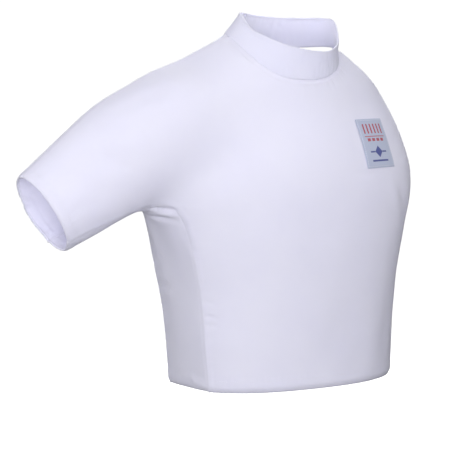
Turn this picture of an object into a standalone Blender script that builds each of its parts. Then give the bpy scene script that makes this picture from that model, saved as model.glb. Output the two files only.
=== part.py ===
"""A white one-sleeved fencing under-jacket, filled out as when worn, made as its cut pieces of cloth.

The frame is the wearer's: +X to the wearer's left, +Y to the back, +Z up. The origin is the middle of
the neck, at the level where the collar is sewn on, because the wearer's shoulders carry the jacket there.
A general figure with the garment's ease in it is described once, by sections of the torso and a tapered
sleeve. Each panel is then a net of points between its seams, laid on that figure and given a thickness.
All sizes are in millimetres, and angles round the neck are in degrees.
"""

import bpy
import numpy as np

MM = 0.001

# Cloth walls, the room between sewn pieces, and the room under what lies on a panel.
CLOTH = 1.8
COLLAR_CLOTH = 2.6
STRAP_CLOTH = 1.6
LABEL_CLOTH = 0.8
SEAM_GAP = 0.3
LAID_GAP = 0.4

# Where the jacket ends: the level hem, and the cuff's plane, which faces down along the arm.
HEM = -446.0
CUFF_CENTRE = np.array([-388.5, 0.0, -195.0])
CUFF_SLOPE = np.radians(31.0)
CUFF_OUT = np.array([-np.cos(CUFF_SLOPE), 0.0, -np.sin(CUFF_SLOPE)])
CUFF_UP = np.array([-np.sin(CUFF_SLOPE), 0.0, np.cos(CUFF_SLOPE)])
SHOULDER_JOINT = np.array([-195.0, 0.0, -85.0])
UP = np.array([0.0, 0.0, 1.0])
BACKWARD = np.array([0.0, 1.0, 0.0])

# Softness of the figure: how wide the armpit, the top of the shoulder and the side's edges are rounded,
# over what height the first turns into the second, and how far the side panel bows out between its seams.
ARMPIT_ROUND = 42.0
SHOULDER_ROUND = 75.0
ROUND_BLEND_HEIGHT = 100.0
SIDE_EDGE_ROUND = 5.0
SIDE_BOW = 2.0
SIDE_BOW_AT = 50.0


def table(names, *rows):
    """A short table as one array for each named column."""
    return dict(zip(names.split(), np.array(rows, float).T))


# Level sections of the torso, from under the hem to the neck. The widest line lies at y = middle, side
# is where the panel under the arm cuts the right side, and squareness 2 would be an ellipse.
TORSO = table(
    "height left right front back middle side squareness",
    (-500, 170, 172, 114, 98, 0, -159, 2.3),
    (-444, 171, 175, 114, 98, 0, -162, 2.3),
    (-381, 174, 182, 115, 97, 0, -168, 2.3),
    (-325, 176, 190, 118, 98, 0, -175, 2.3),
    (-285, 181, 198, 120, 101, 0, -184, 2.3),
    (-245, 190, 206, 122, 105, 0, -197, 2.3),
    (-215, 199, 212, 122, 108, 0, -212, 2.3),
    (-166, 209, 214, 121, 111, 0, -246, 2.3),
    (-137, 206, 209, 117, 112, 0, -268, 2.2),
    (-108, 203, 205, 110, 112, 2, -290, 2.0),
    (-79, 198, 199, 100, 110, 4, -310, 1.85),
    (-50, 182, 186, 91.5, 105, 6, -330, 1.75),
    (-21, 157, 172, 86, 97, 8, -350, 1.7),
    (0, 131, 154, 72, 88, 10, -360, 1.7),
    (20, 105, 130, 52, 76, 10, -370, 1.75),
    (40, 84, 89, 33, 62, 10, -380, 1.9),
    (60, 66, 72, 24, 52, 10, -390, 2.0),
)

# Sections of the sleeve, by distance from the cuff towards the shoulder joint.
SLEEVE = table(
    "along top bottom half_depth",
    (-25, 55, 53, 39),
    (0, 58, 57, 41),
    (64, 69, 64, 49),
    (124, 77, 71, 60),
    (164, 80, 81, 68),
    (219, 76, 87, 74),
)

# The seams along the side panel, from the hem, over the armpit, to the cuff, before and behind it.
SIDE_SEAMS = table(
    "x z front_y back_y",
    (-158, -446, -50, 46),
    (-165, -371, -51, 47),
    (-174, -316, -53, 49),
    (-184, -270, -55, 51),
    (-199, -217, -54, 51),
    (-222, -189, -43, 45),
    (-250, -196, -31, 36),
    (-286, -208, -34, 33),
    (-320, -219, -36, 30),
    (-360, -232, -34, 27),
)
ARMPIT_ROW = 5

# The seam on top of the shoulder and sleeve, from the neck to the cuff.
SHOULDER_SEAM = table(
    "x y z",
    (-122, 4, 27),
    (-160, 5, 15),
    (-200, 5, -2),
    (-245, 5, -20),
    (-292, 4, -46),
    (-350, 2, -90),
)

# Lines in the nets where no seam lies: between body and sleeve, and across the chest and the back.
FRONT_TURN = table("x y z", (-206, -76, -150), (-170, -84, -88), (-128, -62, -22))
BACK_TURN = table("x y z", (-206, 76, -150), (-170, 92, -88), (-128, 70, -22))
CHEST_LINE = table("x y z", (-130, -110, -196), (0, -122, -196), (130, -106, -194))
BACK_LINE = table("x y z", (-170, 84, -198), (-80, 108, -204))

# The front's free edge: down past the bare left shoulder from the collar, then back under that arm.
ARMHOLE_EDGE = table(
    "x y z",
    (94, -16, 18),
    (111, -23, 2),
    (129, -31, -16),
    (146, -37, -36),
    (162, -45, -64),
    (175, -50, -93),
    (189, -53, -137),
    (196, -51, -166),
    (201, -36, -192),
)
UNDERARM_EDGE = table("x y z", (201, -36, -192), (198, -10, -214), (193, 16, -226))
LEFT_SIDE_Y = 16.0
LEFT_SIDE = table("x z", (172, -446), (174, -381), (180, -310), (193, -226))

# The back reaches just past the middle: its free edge on the wearer's left.
BACK_EDGE = table("x z", (38, -446), (36, -380), (34, -290), (32, -204), (29, -110), (24, -10))
BACK_EDGE_MIDDLE = 3

# The collar's lower and upper loops, seen from above, and their heights round the neck, in degrees from
# the middle of the front towards the wearer's left. Its end laps inside its start, behind the neck. Past
# the two ends of the neck seam its foot turns upright, over so many degrees.
NECK_CENTRE = (-7.0, -12.0)
NECK_RADII = (85.0, 76.0)
COLLAR_TOP_CENTRE = (0.0, -19.0)
COLLAR_TOP_RADII = (68.0, 68.0)
COLLAR = table(
    "degrees base top",
    (-200, 30, 69),
    (-180, 33, 71),
    (-155, 37, 73.5),
    (-140, 40, 75),
    (-125, 42, 75),
    (-103, 41, 66),
    (-90, 35, 54),
    (-75, 22, 45),
    (-60, 4, 37.5),
    (-40, -15, 28.5),
    (-20, -20.5, 22.8),
    (0, -21, 19.6),
    (20, -17, 21),
    (40, -5, 29),
    (55, 6, 37),
    (65, 15, 50),
    (75, 20, 62),
    (90, 24.5, 67),
    (120, 25.5, 68),
    (160, 28.5, 69),
    (180, 33, 71),
    (205, 37, 73.5),
    (220, 40, 75),
)
COLLAR_BOW = 3.0
SHOULDER_AT = -103.0
FRONT_END_AT = 82.0
BACK_END_AT = -195.0
COLLAR_START_AT = -198.0
LAP_STEP_AT = (130.0, 158.0)
FOOT_TURNS_OVER = (20.0, 12.0)

# The strap round the bare left side of the back, and the label on the left of the chest.
STRAP_MIDDLE = -342.0
STRAP_WIDTH = 38.0
STRAP_END_X = -14.0
STRAP_LIFT_X = (84.0, 52.0)
STRAP_SWEEP = (0.0, 120.0)
LABEL_CENTRE = np.array([92.5, -102.0, -108.0])
LABEL_SIZE = (62.0, 72.0)
LABEL_TURN = np.radians(0.5)

# How many strips each net has, and how much shorter its strips get towards the armpit.
LOWER_ROWS = 14
UNDERARM_ROWS = 3
UPPER_ROWS = 15
FRONT_STRIPS = 24
BACK_STRIPS = 12
SLEEVE_ROWS = 13
SIDE_STRIPS = 6
FREE_NECK_STRIPS = 9
LAP_STRIPS = 6
COLLAR_ROWS = 4
STRAP_STRIPS = 16
STRAP_ROWS = 2
LABEL_STRIPS = (4, 6)
ARMPIT_GRADE = 1.35

# Plain ovals that level lines and the cuff start from, and how many fine points each strip is cut from.
BODY_OVAL = (150.0, 110.0)
CUFF_OVAL = (50.0, 40.0)
FINE = 8

# How points are moved onto the figure: the number of moves, the longest one, the least slope that a move
# within a plane divides by, and the step that the slope is measured over.
MOVES = 14
LONGEST_MOVE = 12.0
LEAST_SLOPE = 0.05
SLOPE_STEP = 0.5

# The least pull of a corner's two edges, and the angle from which an edge of a wall is shaded sharp.
LEAST_PULL = 0.5
SHARP_EDGE = np.radians(50.0)


def spline(knots, values, at):
    """Values at some places on the natural cubic curve through the values at the knots."""
    knots, values = np.asarray(knots, float), np.asarray(values, float)
    at = np.clip(at, knots[0], knots[-1])
    step = np.diff(knots)
    count = len(knots)
    matrix = np.eye(count)
    bend = np.zeros(values.shape)
    for i in range(1, count - 1):
        matrix[i, i - 1 : i + 2] = step[i - 1], 2 * (step[i - 1] + step[i]), step[i]
        bend[i] = 6 * ((values[i + 1] - values[i]) / step[i] - (values[i] - values[i - 1]) / step[i - 1])
    curve = np.linalg.solve(matrix, bend)
    i = np.clip(np.searchsorted(knots, at, side="right") - 1, 0, count - 2)
    width = step[i]
    after, before = (at - knots[i]) / width, (knots[i + 1] - at) / width
    if values.ndim > 1:
        width, after, before = width[..., None], after[..., None], before[..., None]
    cubic = (before**3 - before) * curve[i] + (after**3 - after) * curve[i + 1]
    return before * values[i] + after * values[i + 1] + cubic * width**2 / 6


def lengths(line):
    """The distance along a line at each of its points."""
    return np.concatenate([[0], np.cumsum(np.linalg.norm(np.diff(line, axis=0), axis=1))])


def cut(line, strips, grade=1.0, at_end=True):
    """A line again, cut into strips that get shorter towards one end where grade is over 1."""
    along = lengths(line)
    share = np.linspace(0, 1, strips + 1)
    share = 1 - (1 - share) ** grade if at_end else share**grade
    return np.stack([np.interp(share * along[-1], along, line[:, k]) for k in range(3)], axis=1)


def smooth(points, strips):
    """A smooth line through some points."""
    points = np.asarray(points, float)
    along = lengths(points)
    return spline(along, points, np.linspace(0, along[-1], strips + 1))


def soft_max(a, b, width):
    """The larger of two distances, rounded over where they cross."""
    share = np.clip(0.5 + 0.5 * (a - b) / width, 0, 1)
    return b + (a - b) * share + width * share * (1 - share)


def step_between(low, high, value):
    """A soft step from 0 to 1 while the value goes from low to high."""
    share = np.clip((value - low) / (high - low), 0, 1)
    return share * share * (3 - 2 * share)


def torso_distance(p):
    """About how far points are outside the torso's level sections."""
    x, z = p[..., 0], p[..., 2]
    at = {name: spline(TORSO["height"], TORSO[name], z) for name in TORSO}
    y = p[..., 1] - at["middle"]
    half_width = np.where(x > 0, at["left"], at["right"])
    depth = np.where(y < 0, at["front"] + at["middle"], at["back"] - at["middle"])
    n = at["squareness"]
    share = (np.abs(x / half_width) ** n + np.abs(y / depth) ** n) ** (1 / n)
    reach = np.hypot(x, y)
    rounded = reach - reach / np.maximum(share, 1e-6)
    side = at["side"] + SIDE_BOW * (p[..., 1] / SIDE_BOW_AT) ** 2 - x
    return soft_max(rounded, side, SIDE_EDGE_ROUND)


SLEEVE_LINE = SHOULDER_JOINT - CUFF_CENTRE
SLEEVE_LENGTH = np.linalg.norm(SLEEVE_LINE)
SLEEVE_LINE = SLEEVE_LINE / SLEEVE_LENGTH
SLEEVE_UP = np.array([-SLEEVE_LINE[2], 0.0, SLEEVE_LINE[0]])


def sleeve_distance(p):
    """About how far points are outside the tapered sleeve, which ends inside the torso in a round cap."""
    q = p - CUFF_CENTRE
    along, up, y = q @ SLEEVE_LINE, q @ SLEEVE_UP, q[..., 1]
    at = {name: spline(SLEEVE["along"], SLEEVE[name], along) for name in SLEEVE}
    half_height = np.where(up > 0, at["top"], at["bottom"])
    past = np.maximum(along - SLEEVE_LENGTH, 0)
    share = np.sqrt((up / half_height) ** 2 + (y / at["half_depth"]) ** 2 + (past / at["half_depth"]) ** 2)
    reach = np.sqrt(up**2 + y**2 + past**2)
    return reach - reach / np.maximum(share, 1e-6)


def figure_distance(p):
    """About how far points are outside the whole figure."""
    above = np.clip((p[..., 2] - SHOULDER_JOINT[2]) / ROUND_BLEND_HEIGHT + 0.5, 0, 1)
    width = ARMPIT_ROUND + (SHOULDER_ROUND - ARMPIT_ROUND) * above
    return -soft_max(-torso_distance(p), -sleeve_distance(p), width)


def outward(p):
    """The direction straight out of the figure at each point, and how fast its distance grows there."""
    steps = SLOPE_STEP * np.eye(3)
    slope = [figure_distance(p + step) - figure_distance(p - step) for step in steps]
    slope = np.stack(slope, axis=-1) / (2 * SLOPE_STEP)
    size = np.linalg.norm(slope, axis=-1, keepdims=True)
    return slope / size, size[..., 0]


def on_figure(points, across=None):
    """The points moved onto the figure, each one within a plane across a direction where one is given."""
    p = np.array(points, float)
    for _ in range(MOVES):
        normal, size = outward(p)
        reach = -figure_distance(p) / size
        move = reach[..., None] * normal
        if across is not None:
            level = normal - (normal @ across)[..., None] * across
            move = (reach / np.maximum((level**2).sum(-1), LEAST_SLOPE))[..., None] * level
        length = np.linalg.norm(move, axis=-1, keepdims=True)
        p = p + move * np.minimum(1, LONGEST_MOVE / np.maximum(length, 1e-9))
    return p


def with_ends(line, start, end):
    """A line whose end points are exactly these."""
    line[0], line[-1] = start, end
    return line


def seam(points, strips, grade=1.0, at_end=True):
    """A line through some points, laid on the figure, cut into strips and ending at the outer points."""
    line = on_figure(cut(on_figure(smooth(points, FINE * strips)), strips, grade, at_end))
    return with_ends(line, points[0], points[-1])


def xyz(rows):
    """The points of a table that has columns x, y and z."""
    return np.stack([rows["x"], rows["y"], rows["z"]], axis=1)


def round_neck(centre, radii, heights, degrees):
    """Points of a loop round the neck: an oval seen from above, with its own height at each angle."""
    turn = np.radians(degrees)
    x = centre[0] + radii[0] * np.sin(turn)
    y = centre[1] - radii[1] * np.cos(turn)
    return np.stack([x, y, spline(COLLAR["degrees"], heights, degrees)], axis=-1)


def neck_line(degrees):
    """Points of the collar's lower edge. Where a panel is sewn to it they lie on the figure."""
    degrees = np.asarray(degrees, float)
    free = round_neck(NECK_CENTRE, NECK_RADII, COLLAR["base"], degrees)
    sewn = (degrees >= BACK_END_AT - 1e-6) & (degrees <= FRONT_END_AT + 1e-6)
    return np.where(sewn[..., None], on_figure(free), free)


def level_oval(turns, height):
    """Points of the plain body oval at a height, to be laid on the figure."""
    return np.stack([BODY_OVAL[0] * np.cos(turns), BODY_OVAL[1] * np.sin(turns), height + 0 * turns], axis=1)


def hem_line(start, end, strips):
    """The level hem between two points, laid on the figure."""
    turn = np.unwrap([np.arctan2(start[1], start[0]), np.arctan2(end[1], end[0])])
    ring = level_oval(np.linspace(turn[0], turn[1], FINE * strips + 1), HEM)
    return with_ends(on_figure(cut(on_figure(ring, UP), strips), UP), start, end)


def cuff_line(start, end, strips):
    """The cuff between two points of it, on the shorter way round."""
    turn = np.unwrap([np.arctan2((p - CUFF_CENTRE) @ CUFF_UP, p[1]) for p in (start, end)])
    turns = np.linspace(*turn, FINE * strips + 1)[:, None]
    ring = CUFF_OVAL[0] * np.sin(turns) * CUFF_UP + CUFF_OVAL[1] * np.cos(turns) * BACKWARD + CUFF_CENTRE
    return with_ends(on_figure(cut(on_figure(ring, CUFF_OUT), strips), CUFF_OUT), start, end)


def on_hem(point):
    """The point of the hem nearest to a point."""
    return on_figure(np.array([[point[0], point[1], HEM]]), UP)[0]


def on_cuff(point):
    """The point of the cuff nearest to a point."""
    level = point - (point - CUFF_CENTRE) @ CUFF_OUT * CUFF_OUT
    return on_figure(level[None], CUFF_OUT)[0]


def net(bottom, top, left, right):
    """A net of points between four lines that meet at the corners, laid on the figure."""
    u = np.linspace(0, 1, len(bottom))[None, :, None]
    v = np.linspace(0, 1, len(left))[:, None, None]
    sides = (1 - u) * left[:, None] + u * right[:, None]
    ends = (1 - v) * bottom[None] + v * top[None]
    corners = (1 - v) * ((1 - u) * bottom[0] + u * bottom[-1]) + v * ((1 - u) * top[0] + u * top[-1])
    points = sides + ends - corners
    points[1:-1, 1:-1] = on_figure(points[1:-1, 1:-1])
    return points


def side_seam(side):
    """The seam on one side of the side panel, from the hem to the armpit and from there to the cuff."""
    rows = on_figure(np.stack([SIDE_SEAMS["x"], SIDE_SEAMS[side], SIDE_SEAMS["z"]], axis=1))
    rows[0], rows[-1] = on_hem(rows[0]), on_cuff(rows[-1])
    line = on_figure(smooth(rows, FINE * (LOWER_ROWS + SLEEVE_ROWS)))
    armpit = np.argmin(np.linalg.norm(line - rows[ARMPIT_ROW], axis=1))
    body = on_figure(cut(line[: armpit + 1], LOWER_ROWS, ARMPIT_GRADE))
    sleeve = on_figure(cut(line[armpit:], SLEEVE_ROWS, ARMPIT_GRADE, at_end=False))
    return with_ends(body, rows[0], line[armpit]), with_ends(sleeve, line[armpit], rows[-1])


def shoulder_seam():
    """The seam from the neck over the shoulder to the cuff."""
    start = neck_line([SHOULDER_AT])[0]
    end = on_cuff(CUFF_CENTRE + SLEEVE["top"][1] * CUFF_UP)
    return seam(np.concatenate([[start], xyz(SHOULDER_SEAM), [end]]), SLEEVE_ROWS)


def sleeve_net(turn, side):
    """Half of the sleeve, from the line where it meets the body to the cuff."""
    shoulder = shoulder_seam()
    return net(turn, cuff_line(side[-1], shoulder[-1], UPPER_ROWS), side, shoulder)


def front_nets():
    """The front and the front half of its sleeve, cut in one."""
    body_side, sleeve_side = side_seam("front_y")
    neck = neck_line(np.linspace(SHOULDER_AT, FRONT_END_AT, FRONT_STRIPS + 1))
    turn = seam(np.concatenate([[body_side[-1]], xyz(FRONT_TURN), [neck[0]]]), UPPER_ROWS)
    left = np.stack([LEFT_SIDE["x"], np.full(len(LEFT_SIDE["x"]), LEFT_SIDE_Y), LEFT_SIDE["z"]], axis=1)
    left, under = on_figure(left), on_figure(xyz(UNDERARM_EDGE))
    left[0], left[-1] = on_hem(left[0]), under[-1]
    side = seam(left, LOWER_ROWS - UNDERARM_ROWS)
    side = np.concatenate([side, seam(under[::-1], UNDERARM_ROWS)[1:]])
    chest = seam(np.concatenate([[body_side[-1]], xyz(CHEST_LINE), [side[-1]]]), FRONT_STRIPS)
    edge = np.concatenate([[side[-1]], xyz(ARMHOLE_EDGE)[-2::-1], [neck[-1]]])
    lower = net(hem_line(body_side[0], side[0], FRONT_STRIPS), chest, body_side, side)
    upper = net(chest, neck, turn, seam(edge, UPPER_ROWS))
    return [lower, upper, sleeve_net(turn, sleeve_side)]


def back_nets():
    """The right half of the back and the back half of the sleeve, cut in one."""
    body_side, sleeve_side = side_seam("back_y")
    neck = neck_line(np.linspace(SHOULDER_AT, BACK_END_AT, BACK_STRIPS + 1))
    turn = seam(np.concatenate([[body_side[-1]], xyz(BACK_TURN), [neck[0]]]), UPPER_ROWS)
    rows = np.stack([BACK_EDGE["x"], np.full(len(BACK_EDGE["x"]), BODY_OVAL[1]), BACK_EDGE["z"]], axis=1)
    rows = np.concatenate([on_figure(rows), neck[-1:]])
    rows[0] = on_hem(rows[0])
    low = seam(rows[: BACK_EDGE_MIDDLE + 1], LOWER_ROWS)
    high = seam(rows[BACK_EDGE_MIDDLE:], UPPER_ROWS)
    middle = seam(np.concatenate([[body_side[-1]], xyz(BACK_LINE), low[-1:]]), BACK_STRIPS)
    lower = net(hem_line(body_side[0], low[0], BACK_STRIPS), middle, body_side, low)
    upper = net(middle, neck, turn, high)
    return [grid[:, ::-1] for grid in (lower, upper, sleeve_net(turn, sleeve_side))]


def side_nets():
    """The side panel, which runs up the side, through the armpit and along the sleeve with no seam."""
    front = np.concatenate([side_seam("front_y")[0], side_seam("front_y")[1][1:]])
    back = np.concatenate([side_seam("back_y")[0], side_seam("back_y")[1][1:]])
    hem = hem_line(back[0], front[0], SIDE_STRIPS)
    return [net(hem, cuff_line(back[-1], front[-1], SIDE_STRIPS), back, front)]


def joined(nets):
    """The points of nets that share edges, each point once, and each net as the numbers of its points."""
    flat = np.concatenate([grid.reshape(-1, 3) for grid in nets])
    _, first, same = np.unique(np.round(flat, 4), axis=0, return_index=True, return_inverse=True)
    numbers, start = [], 0
    for grid in nets:
        count = grid.shape[0] * grid.shape[1]
        numbers.append(same.reshape(-1)[start : start + count].reshape(grid.shape[:2]))
        start += count
    return flat[first], numbers


def quads_of(numbers):
    """The four corners of each mesh of some nets, all turned the same way."""
    quads = []
    for grid in numbers:
        corners = [grid[:-1, :-1], grid[:-1, 1:], grid[1:, 1:], grid[1:, :-1]]
        quads += np.stack(corners, axis=-1).reshape(-1, 4).tolist()
    return quads


def outer_edges(quads):
    """The edges that only one quad has, each with that quad."""
    owner = {}
    for quad in quads:
        for a, b in zip(quad, quad[1:] + quad[:1]):
            owner[(a, b)] = quad
    return {edge: quad for edge, quad in owner.items() if edge[::-1] not in owner}


def drawn_in(points, quads, by):
    """The points, with the outer edge of the whole drawn in along the cloth, to leave a seam's room."""
    pull = np.zeros(points.shape)
    for (a, b), quad in outer_edges(quads).items():
        along = points[b] - points[a]
        along = along / np.linalg.norm(along)
        inwards = points[quad].mean(axis=0) - points[a]
        inwards = inwards - inwards @ along * along
        for end in (a, b):
            pull[end] += inwards / np.linalg.norm(inwards)
    # A point's two edges each pull by one, so the sum gets shorter as the corner gets sharper.
    size = np.maximum((pull**2).sum(axis=1, keepdims=True), LEAST_PULL)
    return points + by * 2 * pull / size


MATERIALS = {}


def material(name, colour, roughness):
    """A cloth finish, made once."""
    if name not in MATERIALS:
        made = bpy.data.materials.new(name)
        made.use_nodes = True
        surface = made.node_tree.nodes["Principled BSDF"]
        surface.inputs["Base Color"].default_value = (*colour, 1)
        surface.inputs["Roughness"].default_value = roughness
        MATERIALS[name] = made
    return MATERIALS[name]


def wall(name, inner, outer, quads, finish):
    """A closed wall of cloth as an object, from its inner and outer points and the quads that cover them."""
    count = len(inner)
    faces = [[i + count for i in quad] for quad in quads] + [quad[::-1] for quad in quads]
    faces += [[a, b, b + count, a + count] for a, b in outer_edges(quads)]
    mesh = bpy.data.meshes.new(name)
    mesh.from_pydata((np.concatenate([inner, outer]) * MM).tolist(), [], faces)
    mesh.materials.append(finish)
    mesh.shade_smooth()
    mesh.set_sharp_from_angle(angle=SHARP_EDGE)
    made = bpy.data.objects.new(name, mesh)
    bpy.context.scene.collection.objects.link(made)
    return made


def panel(name, nets, finish):
    """One cut piece of cloth that lies on the figure."""
    points, numbers = joined(nets)
    quads = quads_of(numbers)
    inner = drawn_in(points, quads, SEAM_GAP / 2)
    return wall(name, inner, inner + CLOTH * outward(inner)[0], quads, finish)


def laid(name, grid, lift, thickness, finish):
    """A piece that lies over the figure at some height."""
    normal, _ = outward(grid)
    inner = grid + np.broadcast_to(lift, grid.shape[:2])[..., None] * normal
    numbers = np.arange(grid.shape[0] * grid.shape[1]).reshape(grid.shape[:2])
    outer = (inner + thickness * normal).reshape(-1, 3)
    return wall(name, inner.reshape(-1, 3), outer, quads_of([numbers]), finish)


def collar_degrees():
    """The places of the collar's points round the neck: the same as the panels' where they are sewn on."""
    back = np.linspace(BACK_END_AT, SHOULDER_AT, BACK_STRIPS + 1)
    front = np.linspace(SHOULDER_AT, FRONT_END_AT, FRONT_STRIPS + 1)
    free = np.linspace(FRONT_END_AT, BACK_END_AT + 360, FREE_NECK_STRIPS + 1)
    lap = back[: LAP_STRIPS + 1] + 360
    return np.concatenate([[COLLAR_START_AT], back[:-1], front[:-1], free[:-1], lap])


def collar(finish):
    """The standing collar: it starts flush with the neck seam and leans in to its upper edge."""
    degrees = collar_degrees()
    base = neck_line(degrees)
    top = round_neck(COLLAR_TOP_CENTRE, COLLAR_TOP_RADII, COLLAR["top"], degrees)
    turn = np.radians(degrees)
    level = np.stack([np.sin(turn), -np.cos(turn), 0 * turn], axis=1)
    sewn = 1 - step_between(FRONT_END_AT, FRONT_END_AT + FOOT_TURNS_OVER[0], degrees)
    sewn = sewn * step_between(BACK_END_AT - FOOT_TURNS_OVER[1], BACK_END_AT, degrees)
    normal = sewn[:, None] * outward(base)[0] + (1 - sewn)[:, None] * level
    normal = normal / np.linalg.norm(normal, axis=1, keepdims=True)
    along = np.gradient(base, axis=0)
    rise = np.cross(normal, along)
    rise = rise / np.linalg.norm(rise, axis=1, keepdims=True)
    lap = step_between(*LAP_STEP_AT, degrees)[:, None]
    foot = base + SEAM_GAP / 2 * rise
    share = np.linspace(0, 1, COLLAR_ROWS + 1)[:, None, None]
    place = foot + share * (top - foot) + 4 * share * (1 - share) * COLLAR_BOW * rise
    tilt = normal * (1 - share) + level * share
    tilt = tilt / np.linalg.norm(tilt, axis=2, keepdims=True)
    inner = place - lap * (COLLAR_CLOTH + LAID_GAP) * level
    numbers = np.arange(inner.shape[0] * inner.shape[1]).reshape(inner.shape[:2])
    outer = (inner + COLLAR_CLOTH * tilt).reshape(-1, 3)
    return wall("collar", inner.reshape(-1, 3), outer, quads_of([numbers]), finish)


def strap(finish):
    """The strap from the front's left side, round the bare back, to its place on the back panel."""
    turns = np.radians(np.linspace(*STRAP_SWEEP, FINE * FINE * STRAP_STRIPS))
    rows = []
    for height in np.linspace(-STRAP_WIDTH / 2, STRAP_WIDTH / 2, STRAP_ROWS + 1) + STRAP_MIDDLE:
        ring = on_figure(level_oval(turns, height), UP)
        ring = ring[(ring[:, 1] > LEFT_SIDE_Y + SEAM_GAP) & (ring[:, 0] > STRAP_END_X)]
        rows.append(on_figure(cut(ring, STRAP_STRIPS), UP))
    grid = np.stack(rows)
    lift = (CLOTH + LAID_GAP) * step_between(*STRAP_LIFT_X, grid[..., 0])
    return laid("strap", grid, lift, STRAP_CLOTH, finish)


def label(finish):
    """The label sewn on the left of the chest, made from the front's own surface, moved out."""
    centre = on_figure(LABEL_CENTRE[None])[0]
    normal = outward(centre[None])[0][0]
    level = np.cross(UP, normal)
    level = level / np.linalg.norm(level)
    across = np.cos(LABEL_TURN) * level + np.sin(LABEL_TURN) * np.cross(normal, level)
    rise = np.cross(normal, across)
    u = np.linspace(-0.5, 0.5, LABEL_STRIPS[0] + 1)[None, :, None] * LABEL_SIZE[0]
    v = np.linspace(-0.5, 0.5, LABEL_STRIPS[1] + 1)[:, None, None] * LABEL_SIZE[1]
    grid = on_figure(centre + u * across + v * rise)
    return laid("label", grid, CLOTH + LAID_GAP, LABEL_CLOTH, finish)


def main():
    for old in list(bpy.data.objects):
        bpy.data.objects.remove(old)
    white = material("white jacket cloth", (0.88, 0.88, 0.94), 0.8)
    panel("front", front_nets(), white)
    panel("back", back_nets(), white)
    panel("side_panel", side_nets(), white)
    collar(material("white collar cloth", (0.86, 0.86, 0.92), 0.8))
    strap(material("white strap webbing", (0.84, 0.84, 0.89), 0.75))
    label(material("pale blue label cloth", (0.41, 0.47, 0.65), 0.7))


main()
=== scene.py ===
# %% [markdown]
# # A one-sleeved fencing under-jacket
# This lesson dresses the solids of a fencer's half jacket: a white garment that covers the chest, the right
# upper arm and half of the back, and leaves the other shoulder bare. The solids are plain walls of cloth in
# the right place. They could be shown with a cloth material and nothing else, but real cloth gives itself
# away by its form: turned hems, stitches that pull, folds where it is strained. So each wall is copied, its
# outer face is kept and made finer, and the sewn and folded form is pushed into it before it gets its
# thickness back.

import math

import bmesh
import bpy
import numpy as np
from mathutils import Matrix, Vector, noise
from mathutils.kdtree import KDTree


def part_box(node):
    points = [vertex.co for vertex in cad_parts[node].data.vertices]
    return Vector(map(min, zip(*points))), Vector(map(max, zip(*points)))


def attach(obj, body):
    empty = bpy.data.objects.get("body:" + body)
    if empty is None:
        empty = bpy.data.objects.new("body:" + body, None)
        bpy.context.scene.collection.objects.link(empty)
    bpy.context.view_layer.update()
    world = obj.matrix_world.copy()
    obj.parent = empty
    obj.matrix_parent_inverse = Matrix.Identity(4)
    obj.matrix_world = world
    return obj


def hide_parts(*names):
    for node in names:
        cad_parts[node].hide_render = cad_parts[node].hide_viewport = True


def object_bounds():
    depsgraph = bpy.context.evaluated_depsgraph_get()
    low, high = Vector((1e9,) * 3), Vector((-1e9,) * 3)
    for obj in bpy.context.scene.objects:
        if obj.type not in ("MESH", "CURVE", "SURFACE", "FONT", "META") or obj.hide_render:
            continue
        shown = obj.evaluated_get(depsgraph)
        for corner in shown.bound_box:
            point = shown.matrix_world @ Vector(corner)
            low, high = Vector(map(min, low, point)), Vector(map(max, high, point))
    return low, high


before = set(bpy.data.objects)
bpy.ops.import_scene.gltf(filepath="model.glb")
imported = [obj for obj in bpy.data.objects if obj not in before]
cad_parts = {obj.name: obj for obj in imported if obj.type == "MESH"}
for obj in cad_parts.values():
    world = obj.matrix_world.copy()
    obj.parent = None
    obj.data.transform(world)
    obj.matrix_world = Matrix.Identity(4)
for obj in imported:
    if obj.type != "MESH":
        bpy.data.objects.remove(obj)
CAD_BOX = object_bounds()
MM = 0.001
BODY = "root"
print("solids:", sorted(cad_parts), "box:", [tuple(round(x, 3) for x in corner) for corner in CAD_BOX])

# %% [markdown]
# ## Small helpers
# An operator in Blender works on whatever is selected, and the solids come in selected. So every step starts
# from a helper that deselects everything and then makes one piece active. Colours are written as the sRGB hex
# values that a picture shows, and Blender's shaders want linear numbers, so one function turns them.


# %% Selecting, editing and colours
def only(piece):
    """Deselects everything, then selects one piece and makes it active."""
    bpy.ops.object.select_all(action="DESELECT")
    piece.select_set(True)
    bpy.context.view_layer.objects.active = piece
    return piece


def linear(hex_colour):
    """An sRGB hex colour as the linear colour that shaders use."""
    channels = [int(hex_colour[i : i + 2], 16) / 255 for i in (1, 3, 5)]
    return tuple(c / 12.92 if c < 0.04045 else ((c + 0.055) / 1.055) ** 2.4 for c in channels) + (1.0,)


def apply_modifier(piece, kind, **settings):
    """Adds a modifier with its settings and applies it at once."""
    only(piece)
    modifier = piece.modifiers.new(kind.title(), kind)
    for name, value in settings.items():
        setattr(modifier, name, value)
    bpy.ops.object.modifier_apply(modifier=modifier.name)


# %% Points as arrays
def coordinates(piece):
    """The piece's points as an array with a row for each."""
    points = np.empty(len(piece.data.vertices) * 3, np.float32)
    piece.data.vertices.foreach_get("co", points)
    return points.reshape(-1, 3).astype(float)


def normals(piece):
    """The direction straight out of the cloth at each of the piece's points."""
    out = np.empty(len(piece.data.vertices) * 3, np.float32)
    piece.data.vertex_normals.foreach_get("vector", out)
    return out.reshape(-1, 3).astype(float)


def move_points(piece, points):
    """Puts the piece's points where an array says."""
    piece.data.vertices.foreach_set("co", points.astype(np.float32).ravel())
    piece.data.update()


def unit(vectors):
    """Vectors in rows, each made one long."""
    return vectors / np.maximum(np.linalg.norm(vectors, axis=-1, keepdims=True), 1e-12)


def tree_of(points):
    """A search tree of some points."""
    tree = KDTree(len(points))
    for i, point in enumerate(points):
        tree.insert(point, i)
    tree.balance()
    return tree


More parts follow.
